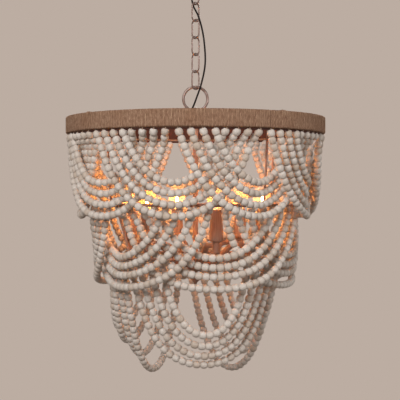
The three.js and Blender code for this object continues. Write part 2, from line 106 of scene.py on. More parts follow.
floor_level, floor_radius, floor_glow = -4.5, 19, 0.6
backdrop_tone = paint("BCADA2")
deselect()
bpy.ops.mesh.primitive_circle_add(vertices=64, radius=floor_radius, fill_type="NGON",
                                  location=(0, 0, floor_level))
bpy.ops.object.transform_apply(location=True, rotation=True, scale=True)
floor = bpy.context.object
floor.name = "studio_floor"
floor_paint, tree, shader = new_material("matt pale floor")
shader.inputs["Base Color"].default_value = paint("CCBEB3")
shader.inputs["Roughness"].default_value = 0.9
# The floor glows as pale as the backdrop, but only where it is looked at, so the glow lights nothing.
shader.inputs["Emission Color"].default_value = backdrop_tone
rays = add_node(tree, "LightPath")
looked_at = add_node(tree, "Math", [(rays.outputs["Is Camera Ray"], 0)], operation="MULTIPLY",
                     in_1=floor_glow)
tree.links.new(looked_at.outputs[0], shader.inputs["Emission Strength"])
floor.data.materials.append(floor_paint)

world = bpy.data.worlds.new("studio")
bpy.context.scene.world = world
world.use_nodes = True
tree = world.node_tree
tree.nodes.clear()
rays = add_node(tree, "LightPath")
seen = add_node(tree, "Math", [(rays.outputs["Is Camera Ray"], 0), (rays.outputs["Is Glossy Ray"], 1)],
                operation="MAXIMUM")
seen = add_node(tree, "Math", [(seen.outputs[0], 0), (rays.outputs["Is Transmission Ray"], 1)],
                operation="MAXIMUM")
soft_light = add_node(tree, "Background", in_Color=paint("FFFCF8"), in_Strength=0.24)
backdrop = add_node(tree, "Background", in_Color=backdrop_tone, in_Strength=1.0)
mixed = add_node(tree, "MixShader",
                 [(seen.outputs[0], 0), (soft_light.outputs[0], 1), (backdrop.outputs[0], 2)])
add_node(tree, "OutputWorld", [(mixed.outputs[0], "Surface")])

lit_point = Vector((0, 0, -0.5))
for label, place, size, watts in [
    ("window", (-0.9, -2.45, 0.6), 1.3, 70),
    ("reflector", (2.4, -0.9, -0.2), 1.6, 24),
    ("back wall", (0.3, 2.4, 0.5), 1.6, 42),
]:
    deselect()
    aim = lit_point - Vector(place)
    bpy.ops.object.light_add(type="AREA", location=place, rotation=aim.to_track_quat("-Z", "Y").to_euler())
    lamp = bpy.context.object
    lamp.name = "studio_" + label.replace(" ", "_")
    lamp.data.size = size
    lamp.data.energy = watts


# Supply cord
# A round two-core cord in black PVC. It leaves the hollow loop under the ceiling plate, is led through the
# second link, bows out beside the chain and runs past the ring into its grip on the shade's hub.
def finish_piece(piece, name, material, body, node):
    """Names a piece, gives it its material, hides the CAD node it stands for and attaches it to the body it
    moves with, if any.
    """
    piece.name = name
    piece.data.name = name
    piece.data.materials.clear()
    piece.data.materials.append(material)
    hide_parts(node)
    if body:
        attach(piece, body)


def mesh_piece(verts, edges, faces):
    """A new object with a mesh of its own."""
    mesh = bpy.data.meshes.new("piece")
    mesh.from_pydata(verts, edges, faces)
    piece = bpy.data.objects.new("piece", mesh)
    bpy.context.scene.collection.objects.link(piece)
    return piece


def hose(points, radius, sides):
    """Rings of vertices along a line, turned as little as possible from one to the next."""
    rings = []
    normal = None
    for i, point in enumerate(points):
        along = points[min(i + 1, len(points) - 1)] - points[max(i - 1, 0)]
        along.normalize()
        if normal is None:
            normal = along.orthogonal().normalized()
        normal = (normal - along * normal.dot(along)).normalized()
        side = along.cross(normal)
        rings.append([point + radius * (math.cos(t) * normal + math.sin(t) * side)
                      for t in [2 * math.pi * k / sides for k in range(sides)]])
    return rings


def tube(rings):
    """A tube through rings of vertices, closed at both ends."""
    sides = len(rings[0])
    faces = []
    for i in range(len(rings) - 1):
        for k in range(sides):
            a, b = i * sides + k, i * sides + (k + 1) % sides
            faces.append((a, b, b + sides, a + sides))
    faces.append(tuple(reversed(range(sides))))
    last = (len(rings) - 1) * sides
    faces.append(tuple(last + k for k in range(sides)))
    piece = mesh_piece([v for ring in rings for v in ring], [], faces)
    piece.data.validate()
    piece.data.set_sharp_from_angle(angle=math.radians(40))
    return piece


def smooth_line(knots, parts):
    """A Catmull-Rom line through the knots."""
    line = []
    for i in range(len(knots) - 1):
        p0 = knots[max(i - 1, 0)]
        p1, p2 = knots[i], knots[i + 1]
        p3 = knots[min(i + 2, len(knots) - 1)]
        for k in range(parts):
            t = k / parts
            line.append(0.5 * (2 * p1 + (p2 - p0) * t + (2 * p0 - 5 * p1 + 4 * p2 - p3) * t**2
                               + (3 * p1 - p0 - 3 * p2 + p3) * t**3))
    line.append(knots[-1].copy())
    return line


def line_length(line):
    return sum((b - a).length for a, b in zip(line, line[1:]))


cord_width, cord_free_from = 0.0035, -0.043
# The route's points are in millimetres.
cord_route = [
    (0, 0, -1), (0, 0, -18), (0, 0, -34), (0, 0, -43), (-1.2, 0, -47.5), (-3.3, 0, -51.8),
    (-5.2, 0, -56.2), (-6.3, 0, -61.5), (-7, 0, -69), (-7.2, 0, -78), (-6.6, 0, -87.5),
    (-4.2, 0, -97), (0, 0, -105.6), (4.4, 0, -114), (9.2, -0.2, -128), (13.3, -0.5, -144.5),
    (16.2, -0.9, -161), (18.1, -1.5, -179), (19.2, -2.4, -198), (18.8, -3.6, -212),
    (16.8, -5, -227), (13.4, -6.4, -242.5), (9.8, -7.4, -256), (5.6, -8.2, -268.5),
    (1.6, -9, -279.5), (-2.2, -9.8, -290), (-6, -10.6, -298.5), (-8.6, -11, -305.5), (-9.5, -11, -311.2),
]
cord_line = smooth_line([Vector(p) / 1000 for p in cord_route], 6)
cord_rings = hose(cord_line, cord_width / 2, 16)
black_pvc, tree, shader = new_material("extruded black PVC")
# Extruded PVC: a dark warm black with a soft sheen and the extruder's faint waves, about 2.4 mm long.
places = add_node(tree, "TexCoord")
waver = add_node(tree, "TexNoise", [(places.outputs["Object"], "Vector")], in_Scale=420, in_Detail=3)
tint = add_node(tree, "ValToRGB", [(waver.outputs["Fac"], "Fac")], [(0, "0C0706"), (1, "1A100C")])
dents = add_node(tree, "Bump", [(waver.outputs["Fac"], "Height")], in_Strength=0.15, in_Distance=0.0003)
tree.links.new(tint.outputs["Color"], shader.inputs["Base Color"])
tree.links.new(dents.outputs["Normal"], shader.inputs["Normal"])
shader.inputs["Roughness"].default_value = 0.6
shader.inputs["Specular IOR Level"].default_value = 0.15

# The cord is cut at the middle of each link and of the ring, so that there is one piece across each contact
# of the chain.
link_count, first_contact, link_pitch, ring_centre = 6, -0.0587, 0.0334, -0.2798
cord_bodies = ["ceiling_mount"] + [f"link_{i + 1}" for i in range(link_count)] + ["ring", "shade"]
cord_cuts = [first_contact - (i + 0.5) * link_pitch for i in range(link_count)] + [ring_centre]
cut_rows = [0]
for cut in cord_cuts:
    cut_rows.append(min(range(len(cord_line)), key=lambda i: abs(cord_line[i].z - cut)))
cut_rows.append(len(cord_line) - 1)
for i in range(len(cord_bodies) - 1):
    rows = slice(cut_rows[i], cut_rows[i + 1] + 1)
    line = cord_line[rows]
    piece = tube(cord_rings[rows])
    finish_piece(piece, f"supply_cord_{i + 1}", black_pvc, None, "supply_cord")
    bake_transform(piece)


# Bead strings
# Turned beech beads, drilled end to end, dipped in thin white paint and rubbed, so the grain shows through.
# They are strung tight on cotton, and each string hangs from its hoop as a chain does, nested four deep.
bead_radius, bead_pitch, smallest_bead, bead_bands = 0.0075, 0.0134, 0.965, 8
bead_rows = {1: (0.0042, 0.0067), 2: (0.0061, 0.0053), 3: (0.0072, 0.0029), 4: (0.0075, 0),
             5: (0.0072, -0.0029), 6: (0.0061, -0.0053), 7: (0.0042, -0.0067)}
whitewash, tree, shader = new_material("whitewashed beech")
# Thin white over pale beech: chalky grey-beige, darker where the wash rubbed off along the grain.
own = add_node(tree, "Attribute", attribute_name="bead_place", attribute_type="GEOMETRY")
tone = add_node(tree, "Attribute", attribute_name="bead_tone", attribute_type="GEOMETRY")
stretch = add_node(tree, "Mapping", [(own.outputs["Vector"], "Vector")], in_Scale=(1, 1, 0.18))
# Beech grain is finer than a pixel here, so it is drawn about 1.1 mm wide and 6 mm long, in patches of 8 mm.
grain = add_node(tree, "TexNoise", [(stretch.outputs["Vector"], "Vector")], in_Scale=900,
                 in_Detail=4, in_Roughness=0.65)
wash = add_node(tree, "ValToRGB", [(grain.outputs["Fac"], "Fac")], [(0.25, "B6AA9F"), (0.6, "D3CBC4")])
patch = add_node(tree, "TexNoise", [(own.outputs["Vector"], "Vector")], in_Scale=130, in_Detail=2)
patched = add_node(tree, "Mix", [(patch.outputs["Fac"], 0), (wash.outputs["Color"], 6)],
                   data_type="RGBA", blend_type="MULTIPLY", in_7=paint("EAE3DC"))
toned = add_node(tree, "Mix", [(tone.outputs["Fac"], 0), (patched.outputs[2], 6)],
                 data_type="RGBA", blend_type="MULTIPLY", in_7=paint("E8DED4"))
pores = add_node(tree, "Bump", [(grain.outputs["Fac"], "Height")], in_Strength=0.25, in_Distance=0.0004)
tree.links.new(toned.outputs[2], shader.inputs["Base Color"])
tree.links.new(pores.outputs["Normal"], shader.inputs["Normal"])
shader.inputs["Roughness"].default_value = 0.62


def discard(piece):
    """Removes a piece that was modelled only to be repeated."""
    spare = piece.data
    bpy.data.objects.remove(piece)
    bpy.data.meshes.remove(spare)


deselect()
bpy.ops.mesh.primitive_uv_sphere_add(segments=10, ring_count=bead_bands, radius=bead_radius)
bead = bpy.context.object
bpy.ops.object.mode_set(mode="EDIT")
bpy.ops.mesh.select_all(action="DESELECT")
form = bmesh.from_edit_mesh(bead.data)
for end in (1, -1):
    # the drill leaves a flat with a rim at each end
    tip = max(form.verts, key=lambda v: end * v.co.z)
    bmesh.ops.dissolve_verts(form, verts=[tip])
for v in form.verts:
    # the tumbled bead is a little fuller than a ball: its rows keep their turn but lie on a squarer curve
    row = round(math.acos(max(-1, min(1, v.co.z / bead_radius))) / (math.pi / bead_bands))
    out, up = bead_rows[row]
    v.co.x, v.co.y = [c * out / math.hypot(v.co.x, v.co.y) for c in (v.co.x, v.co.y)]
    v.co.z = up
bmesh.update_edit_mesh(bead.data)
bpy.ops.object.mode_set(mode="OBJECT")
bead_verts = [v.co.copy() for v in bead.data.vertices]
bead_faces = [tuple(f.vertices) for f in bead.data.polygons]
discard(bead)


def ease(x):
    """Goes smoothly from 0 to 1 as x does, and stays level outside."""
    x = min(1.0, max(0.0, x))
    return x * x * (3 - 2 * x)


def chain_shape(half_span, sag):
    """The size of the catenary that hangs by the sag over the span, found by halving."""
    low, high = half_span / 12, half_span * 50
    for _ in range(60):
        middle = (low + high) / 2
        if middle * (math.cosh(half_span / middle) - 1) > sag:
            low = middle
        else:
            high = middle
    return (low + high) / 2


def around(radius, level, angle):
    """A point at a radius and level, turned from the front by an angle in radians."""
    return Vector((radius * math.sin(angle), -radius * math.cos(angle), level))


# A string comes into its layer over the first 28 mm below its hoop, and changes to its other layer over the
# middle 35% of its span, so that one side passes outside the next group's strings and the other inside.
string_steps, layer_drop, swap_share = 240, 0.028, 0.35


def string_line(tier, group, row):
    """Closely spaced points of one string, from its left end to its right end."""
    half = math.radians(tier["first_half"] + row * tier["half_step"])
    centre, sag, push = group[0], group[1][row], group[2][row]
    radius, layers = tier["radius"], tier["layers"]
    half_span, chord = radius * math.sin(half), radius * math.cos(half)
    shape = chain_shape(half_span, sag)
    run = shape * math.sinh(half_span / shape)
    line = []
    for i in range(string_steps + 1):
        across = shape * math.asinh(run * (2 * i / string_steps - 1) / shape)
        rise = shape * (math.cosh(across / shape) - math.cosh(half_span / shape))
        pushed = radius - (radius - math.hypot(across, chord)) * (1 - push)
        under = ease(-rise / layer_drop)
        swap = ease((across / half_span / swap_share + 1) / 2)
        r = pushed + (layers[0] + (layers[1] - layers[0]) * swap) * under
        line.append(around(r, tier["level"] + rise, math.radians(centre) + math.atan2(across, chord)))
    return line


def even_points(line, count):
    """Points at the middles of equal lengths of a line, with the direction there."""
    lengths = [0.0]
    for a, b in zip(line, line[1:]):
        lengths.append(lengths[-1] + (b - a).length)
    points = []
    at = 0
    for i in range(count):
        goal = lengths[-1] * (i + 0.5) / count
        while lengths[at + 1] < goal:
            at += 1
        share = (goal - lengths[at]) / (lengths[at + 1] - lengths[at])
        points.append((line[at].lerp(line[at + 1], share), (line[at + 1] - line[at]).normalized()))
    return points


# How far each string of a group hangs, the shortest first, and how far the strings under it push it out.
upper_strings = [(0.0946, 0.1145, 0.1349, 0.1555), (0.48, 0.5, 0.6, 0.78)]
middle_sags = (0.09375, 0.111, 0.12795, 0.15)
middle_pushes = [(0.6, 0.74, 0.82, 0.86), (0.6, 0.74, 0.79, 0.82), (0.5, 0.66, 0.76, 0.84),
                 (0.6, 0.74, 0.79, 0.82), (0.5, 0.66, 0.76, 0.84), (0.6, 0.74, 0.79, 0.82)]
lower_front = [(0.13615, 0.15755, 0.177, 0.1945), (0.75, 0.5, 0.45, 0.45)]
lower_right = [(0.14175, 0.16425, 0.19395, 0.225), (0, 0, 0, 0)]
lower_left = [(0.14625, 0.1699, 0.1951, 0.2241), (0.9, 0.5, 0.1, 0)]
# A group opens with the angle of its middle. Its shortest string reaches first_half degrees to each side of
# that, and each longer string half_step more. Its layers are the steps out from the hoop, left and right.
bead_tiers = [
    dict(name="upper_bead_tier", groups=[(30.5 + 40 * i, *upper_strings) for i in range(9)], first_half=22.5,
         half_step=5, radius=0.246, level=-0.3525, layers=(-0.002, -0.019), hoop=-0.3522, wire=0.004),
    dict(name="middle_bead_tier", groups=[(11.5 + 60 * i, middle_sags, middle_pushes[i]) for i in range(6)],
         first_half=33.75, half_step=7.5, radius=0.2, level=-0.4902, layers=(-0.0115, 0.0055), hoop=-0.4884,
         wire=0.006),
    dict(name="lower_bead_tier", groups=[(7.5, *lower_front), (129.5, *lower_right), (247.5, *lower_left)],
         first_half=30.2, half_step=8.7, radius=0.162, level=-0.5902, layers=(0, 0), hoop=-0.5884,
         wire=0.006),
]
strings_in_group = 4
chance = random.Random(7)
for tier in bead_tiers:
    verts, faces, own_places, tones = [], [], [], []
    for group in tier["groups"]:
        for row in range(strings_in_group):
            line = string_line(tier, group, row)
            for place, along in even_points(line, round(line_length(line) / bead_pitch)):
                spin = Matrix.Rotation(chance.uniform(0, 2 * math.pi), 3, "Z")
                size = chance.uniform(smallest_bead, 1.0)
                turn = along.to_track_quat("Z", "Y").to_matrix() @ spin @ Matrix.Diagonal((size, size, 1))
                offset = Vector([chance.uniform(-1, 1) for _ in range(3)])
                shade = chance.uniform(0, 1) ** 2
                first = len(verts)
                verts.extend(place + turn @ v for v in bead_verts)
                faces.extend(tuple(first + i for i in f) for f in bead_faces)
                own_places.extend(v + offset for v in bead_verts)
                tones.extend([shade] * len(bead_verts))
    piece = mesh_piece(verts, [], faces)
    piece.data.set_sharp_from_angle(angle=math.radians(50))
    store = piece.data.attributes.new("bead_place", "FLOAT_VECTOR", "POINT")
    store.data.foreach_set("vector", [c for v in own_places for c in v])
    store = piece.data.attributes.new("bead_tone", "FLOAT", "POINT")
    store.data.foreach_set("value", tones)
    finish_piece(piece, tier["name"] + "_beads", whitewash, "shade", tier["name"])


# Twine-wrapped band
# A flat steel hoop wound round and round with jute twine, so the strands stand upright side by side.
# The first and last turns meet on the right with a narrow gap between them.
twine, tree, shader = new_material("wound jute twine")
# Jute: dry, hairy, straw to brown. Real strands are about 1.5 mm; they are drawn at 2.4 mm so that they
# show, with hairs of 2 mm and cloudy stretches of 45 mm. A wave texture of scale 1 repeats every 0.314.
drawn_strand, wave_length = 2.4, 0.314
strand = add_node(tree, "Attribute", attribute_name="twine_place", attribute_type="GEOMETRY")
waves = add_node(tree, "TexWave", [(strand.outputs["Vector"], "Vector")], wave_type="BANDS",
                 bands_direction="X", wave_profile="SIN", in_Scale=1000 / drawn_strand * wave_length,
                 in_Distortion=2.5, in_Detail=3, in_Detail_Scale=1.5)
long_way = add_node(tree, "Mapping", [(strand.outputs["Vector"], "Vector")], in_Scale=(1, 0.3, 0.3))
hairs = add_node(tree, "TexNoise", [(long_way.outputs["Vector"], "Vector")], in_Scale=520,
                 in_Detail=5, in_Roughness=0.8)
# Thick and thin places of the strands lie side by side in tufts about 3 mm wide and 10 mm long.
tufts = add_node(tree, "TexNoise", [(long_way.outputs["Vector"], "Vector")], in_Scale=330, in_Detail=3)
patch = add_node(tree, "TexNoise", [(strand.outputs["Vector"], "Vector")], in_Scale=22, in_Detail=2)
fibre = add_node(tree, "Math", [(hairs.outputs["Fac"], 0), (tufts.outputs["Fac"], 1)], operation="ADD")
halved = add_node(tree, "Math", [(fibre.outputs[0], 0)], operation="MULTIPLY", in_1=0.5)
straw = add_node(tree, "ValToRGB", [(halved.outputs[0], "Fac")], [(0.38, "86634E"), (0.62, "D3B498")])
# where the waves dip, in the grooves between the strands, the colour goes to a darker brown: painted shade
groove_shaded = add_node(tree, "Mix", [(waves.outputs["Fac"], 0), (straw.outputs["Color"], 7)],
                  data_type="RGBA", blend_type="MIX", in_6=paint("7A5945"))
aged = add_node(tree, "Mix", [(patch.outputs["Fac"], 0), (groove_shaded.outputs[2], 6)],
                data_type="RGBA", blend_type="MULTIPLY", in_7=paint("DFCDC0"))
relief = add_node(tree, "Math", [(waves.outputs["Fac"], 0), (fibre.outputs[0], 1)], operation="ADD")
rough = add_node(tree, "Bump", [(relief.outputs[0], "Height")], in_Strength=0.7, in_Distance=0.0014)
tree.links.new(aged.outputs[2], shader.inputs["Base Color"])
tree.links.new(rough.outputs["Normal"], shader.inputs["Normal"])
shader.inputs["Roughness"].default_value = 0.95
shader.inputs["Specular IOR Level"].default_value = 0.2


def edit(piece):
    """Selects a piece alone and opens it in edit mode."""
    deselect()
    piece.select_set(True)
    bpy.context.view_layer.objects.active = piece
    bpy.ops.object.mode_set(mode="EDIT")


band_outer, band_inner = 0.254, 0.2443
band_top, band_bottom = -0.3179, -0.3499
band_round = 0.0032
hoop_back, hoop_lip = 0.2471, 0.0033
spoke_angle = 39
bend = [math.pi / 2 * k / 5 for k in range(6)]
face_height = band_top - band_bottom - 2 * band_round
band_profile = [(band_inner, band_top - hoop_lip), (band_inner, band_top)]
band_profile += [(band_outer - band_round * (1 - math.sin(t)), band_top - band_round * (1 - math.cos(t)))
                 for t in bend]
band_profile += [(band_outer, band_top - band_round - face_height * k / 5) for k in range(1, 5)]
band_profile += [(band_outer - band_round * (1 - math.cos(t)), band_bottom + band_round * (1 - math.sin(t)))
                 for t in bend]
band_profile += [(band_inner, band_bottom), (band_inner, band_bottom + hoop_lip),
                 (hoop_back, band_bottom + hoop_lip), (hoop_back, band_top - hoop_lip)]
walk = [0.0]
for a, b in zip(band_profile, band_profile[1:]):
    walk.append(walk[-1] + math.dist(a, b))
around_count = 660
seam_angle, seam_depth = math.radians(32.5), 0.0012
ripple, ripple_step, scatter, skin = 0.00035, 2.4, 0.0003, 0.0006
spoke_rise, spoke_reach = 0.0016, 0.006
verts, faces, twine_places = [], [], []
for i in range(around_count):
    angle = seam_angle + 2 * math.pi * i / around_count
    proud = ripple * math.sin(i * ripple_step) + scatter * chance.uniform(-1, 1)
    if i in (0, around_count - 1):
        # the gap between the first and the last turn
        proud = -seam_depth
    # the twine rides up where it passes over the end of a spoke
    off_spoke = (math.degrees(angle) - spoke_angle + 45) % 90 - 45
    raised = spoke_rise * math.exp(-(math.radians(off_spoke) * band_outer / spoke_reach) ** 2)
    for (r, z), far in zip(band_profile, walk):
        out = r + (proud - skin if r > hoop_back else 0)
        up = z + (raised + proud / 2 if z > band_top - band_round and r > band_inner else 0)
        verts.append(around(out, up, angle))
        twine_places.append((band_outer * (angle - seam_angle), far, 0))
rows = len(band_profile)
for i in range(around_count):
    j = (i + 1) % around_count
    for k in range(rows):
        m = (k + 1) % rows
        faces.append((i * rows + k, j * rows + k, j * rows + m, i * rows + m))
band = mesh_piece(verts, [], faces)
store = band.data.attributes.new("twine_place", "FLOAT_VECTOR", "POINT")
store.data.foreach_set("vector", [c for v in twine_places for c in v])
band.data.set_sharp_from_angle(angle=math.radians(50))
edit(band)
bpy.ops.mesh.select_all(action="SELECT")
bpy.ops.mesh.normals_make_consistent(inside=False)
bpy.ops.object.mode_set(mode="OBJECT")
finish_piece(band, "jute_band", twine, "shade", "twine_wrapped_band")


# Chain, ring and eye
# Welded wire links, a ring and an eye bolt, with an aged brown steel finish. Each link hangs in the one above
# and stands a quarter turn from it; each has its weld on one straight side.
def smooth_shade(piece, angle=35):
    """Leaves edit mode and smooths all but the edges sharper than an angle in degrees."""
    deselect()
    piece.select_set(True)
    bpy.context.view_layer.objects.active = piece
    bpy.ops.object.shade_smooth_by_angle(angle=math.radians(angle))
    return piece


def torus(radius, wire, steps=64, sides=16):
    """A ring of round wire that lies flat round the origin."""
    deselect()
    bpy.ops.mesh.primitive_torus_add(major_radius=radius, minor_radius=wire / 2, major_segments=steps,
                                     minor_segments=sides)
    return smooth_shade(bpy.context.object, 60)


def turned(profile, sides=48, angle=35):
    """A turned piece: its profile, as radius and height, spun round the Z axis in edit mode."""
    edges = [(i, i + 1) for i in range(len(profile) - 1)]
    piece = mesh_piece([(r, 0, z) for r, z in profile], edges, [])
    edit(piece)
    bpy.ops.mesh.select_all(action="SELECT")
    bpy.ops.mesh.spin(steps=sides, angle=2 * math.pi, center=(0, 0, 0), axis=(0, 0, 1))
    bpy.ops.mesh.select_all(action="SELECT")
    bpy.ops.mesh.remove_doubles(threshold=1e-6)
    bpy.ops.mesh.normals_make_consistent(inside=False)
    return smooth_shade(piece, angle)


def moved(piece, place=(0, 0, 0), turn=(0, 0, 0)):
    """Turns a piece round X, Y and Z in degrees, then shifts it, in its mesh."""
    for angle, axis in zip(turn, "XYZ"):
        piece.data.transform(Matrix.Rotation(math.radians(angle), 4, axis))
    piece.data.transform(Matrix.Translation(place))
    return piece


def joined(pieces):
    """Joins the pieces to the first one."""
    deselect()
    for piece in pieces:
        piece.select_set(True)
    bpy.context.view_layer.objects.active = pieces[0]
    bpy.ops.object.join()
    return pieces[0]


def copied(piece, turn, place=(0, 0, 0)):
    """A copy with its own mesh, turned round the Z axis in degrees and then shifted."""
    twin = bpy.data.objects.new(piece.name, piece.data.copy())
    bpy.context.scene.collection.objects.link(twin)
    twin.data.transform(Matrix.Translation(place) @ Matrix.Rotation(math.radians(turn), 4, "Z"))
    return twin


chain_steel, tree, shader = new_material("aged brown chain steel")
# Steel wire with a thin brown lacquer, dulled by handling: satin, with clouds of 6 mm and pits of 0.7 mm.
places = add_node(tree, "TexCoord")
clouds = add_node(tree, "TexNoise", [(places.outputs["Object"], "Vector")], in_Scale=160, in_Detail=4)
aged = add_node(tree, "ValToRGB", [(clouds.outputs["Fac"], "Fac")], [(0.32, "6E5A50"), (0.72, "94807A")])
scuffs = add_node(tree, "MapRange", [(clouds.outputs["Fac"], "Value")], in_3=0.3, in_4=0.5)
fine = add_node(tree, "TexNoise", [(places.outputs["Object"], "Vector")], in_Scale=1500, in_Detail=2)
pits = add_node(tree, "Bump", [(fine.outputs["Fac"], "Height")], in_Strength=0.12, in_Distance=0.0002)
tree.links.new(aged.outputs["Color"], shader.inputs["Base Color"])
tree.links.new(scuffs.outputs["Result"], shader.inputs["Roughness"])
tree.links.new(pits.outputs["Normal"], shader.inputs["Normal"])
shader.inputs["Metallic"].default_value = 0.55

# Pieces that touch stand 0.3 mm apart, as they do in the solids. A weld stands proud of the wire it closes.
seat_gap = 0.0003
weld_wire, weld_sunk = 0.0008, 0.0001
link_wire, link_width, link_inner = 0.0032, 0.022, 0.0337
link_bend = (link_width - link_wire) / 2
link_straight = link_inner + link_wire - 2 * link_bend
link = torus(link_bend, link_wire)
edit(link)
form = bmesh.from_edit_mesh(link.data)
for end in (1, -1):
    # each half of the torus is drawn out to half the link's straight length
    for v in form.verts:
        v.select_set(end * v.co.y > 1e-5)
    form.select_flush_mode()
    bmesh.update_edit_mesh(link.data)
    bpy.ops.transform.translate(value=(0, end * link_straight / 2, 0))
bpy.ops.object.mode_set(mode="OBJECT")
weld = moved(torus(link_wire / 2 - weld_sunk, weld_wire, 24, 10), (link_bend, 0, 0), (90, 0, 0))
link = moved(joined([link, weld]), turn=(90, 0, 0))
for i in range(link_count):
    middle = first_contact - i * link_pitch + seat_gap - link_inner / 2
    twin = copied(link, 45 if i % 2 else -45, (0, 0, middle))
    finish_piece(twin, f"chain_link_{i + 1}_wire", chain_steel, f"link_{i + 1}",
                 f"chain_link_{i + 1}")
discard(link)

ring_radius, ring_wire = 0.02375, 0.0055
ring_weld_turn, ring_weld_sunk = 0.6, 0.00015
ring = torus(ring_radius, ring_wire, 96, 20)
weld = moved(torus(ring_wire / 2 - ring_weld_sunk, weld_wire, 24, 10),
             (ring_radius * math.cos(ring_weld_turn), ring_radius * math.sin(ring_weld_turn), 0),
             (90, 0, math.degrees(ring_weld_turn)))
ring = moved(joined([ring, weld]), (0, 0, ring_centre), (90, 0, 0))
finish_piece(ring, "ring_wire", chain_steel, "ring", "hanging_ring")

hub_top, eye_centre, eye_radius, eye_wire = -0.3195, -0.3075, 0.0095, 0.005
shank_radius, shank_length, shank_edge = 0.0027, 0.024, 0.0005
shank_foot, shank_top = hub_top - shank_length, eye_centre - eye_radius
eye = moved(torus(eye_radius, eye_wire), (0, 0, eye_centre), (0, 90, 0))
shank = turned([(0, shank_foot), (shank_radius - shank_edge, shank_foot),
                (shank_radius, shank_foot + shank_edge), (shank_radius, shank_top), (0, shank_top)], 24)
finish_piece(joined([eye, shank]), "eye_bolt", chain_steel, "shade", "frame_eye")


# Ceiling plate
# Out of the photograph's view, so it is the plate that such a lamp has: a spun steel dome over a strap,
# held up by a knurled collar on the neck of the loop that the chain hangs on.
clay_paint, tree, shader = new_material("clay-brown sprayed steel")
# Sprayed enamel over steel: satin, with a faint orange-peel texture of 1.4 mm and tone changes of 17 mm.
places = add_node(tree, "TexCoord")
clouds = add_node(tree, "TexNoise", [(places.outputs["Object"], "Vector")], in_Scale=60, in_Detail=3)
spray = add_node(tree, "TexNoise", [(places.outputs["Object"], "Vector")], in_Scale=700, in_Detail=2)
clay = add_node(tree, "ValToRGB", [(clouds.outputs["Fac"], "Fac")], [(0.35, "8A6654"), (0.7, "A07C69")])
peel = add_node(tree, "Bump", [(spray.outputs["Fac"], "Height")], in_Strength=0.2, in_Distance=0.0003)
tree.links.new(clay.outputs["Color"], shader.inputs["Base Color"])
tree.links.new(peel.outputs["Normal"], shader.inputs["Normal"])
shader.inputs["Roughness"].default_value = 0.5

canopy_radius, canopy_hole, canopy_depth, canopy_rim, canopy_wall = 0.0635, 0.0157, 0.028, 0.004, 0.0012
dome = [(1, 0), (0.99, 0.14), (0.965, 0.27), (0.92, 0.41), (0.86, 0.54), (0.78, 0.66), (0.69, 0.76),
        (0.6, 0.84), (0.5, 0.9), (0.4, 0.95), (0.3, 0.985), (0.2, 1), (0, 1)]
outside = [(canopy_radius, 0)] + [
    (canopy_hole + out * (canopy_radius - canopy_hole), -canopy_rim - down * (canopy_depth - canopy_rim))
    for out, down in dome]
inside = [(canopy_hole + out * (canopy_radius - canopy_wall - canopy_hole),
           -canopy_rim - down * (canopy_depth - canopy_rim) + canopy_wall) for out, down in reversed(dome)]
inside.append((canopy_radius - canopy_wall, 0))
canopy = turned(outside + inside + outside[:1], 96, 40)
finish_piece(canopy, "canopy_dome", clay_paint, "canopy_set", "canopy")

collar_top, collar_depth, collar_bore, collar_radius, collar_edge = -0.0283, 0.006, 0.0153, 0.02, 0.0008
collar_foot = collar_top - collar_depth
knurl_sides, knurl_depth = 96, 0.0005
collar = turned([(collar_bore, collar_top), (collar_radius - collar_edge, collar_top),
                 (collar_radius, collar_top - collar_edge), (collar_radius, collar_foot + collar_edge),
                 (collar_radius - collar_edge, collar_foot), (collar_bore, collar_foot),
                 (collar_bore, collar_top)], knurl_sides)
for v in collar.data.vertices:
    # every second upright line of the rim is cut in, which leaves the knurl
    turn = round(math.atan2(v.co.y, v.co.x) / (2 * math.pi) * knurl_sides)
    if turn % 2 and math.hypot(v.co.x, v.co.y) > collar_radius - collar_edge / 2:
        v.co.x, v.co.y = [c * (1 - knurl_depth / collar_radius) for c in (v.co.x, v.co.y)]
finish_piece(collar, "collar_nut", chain_steel, "canopy_set", "canopy_collar")

neck_bottom, neck_top, neck_radius, neck_edge = -0.0358, -0.014, 0.015, 0.001
boss_radius, boss_rise, cord_bore = 0.0065, 0.0033, 0.0023
nipple_bore, nipple_seat = 0.0052, -0.0246
loop_width, loop_wire, loop_centre = 0.025, 0.0043, -0.0505
loop_radius = (loop_width - loop_wire) / 2
boss_bottom = loop_centre + loop_radius - loop_wire / 2 - seat_gap
thread_turns, thread_start, thread_pitch, thread_depth = 14, 0.0028, 0.0012, 0.0006
neck_profile = [(cord_bore, boss_bottom), (boss_radius - neck_edge, boss_bottom),
                (boss_radius, boss_bottom + neck_edge), (boss_radius, neck_bottom - boss_rise),
                (neck_radius - neck_edge, neck_bottom), (neck_radius, neck_bottom + neck_edge)]
for k in range(thread_turns):
    level = neck_bottom + thread_start + k * thread_pitch
    neck_profile += [(neck_radius - thread_depth, level), (neck_radius, level + thread_pitch / 2)]
neck_profile += [(neck_radius - thread_depth, neck_top), (nipple_bore, neck_top), (nipple_bore, nipple_seat),
                 (cord_bore, nipple_seat), (cord_bore, boss_bottom)]
neck = turned(neck_profile, 64)
loop = moved(torus(loop_radius, loop_wire), (0, 0, loop_centre), (90, 0, 45))
finish_piece(joined([neck, loop]), "loop_and_neck", chain_steel, "ceiling_mount",
             "ceiling_loop")
for name in ("crossbar", "threaded_nipple", "locknut"):
    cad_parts[name].data.materials.clear()
    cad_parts[name].data.materials.append(chain_steel)
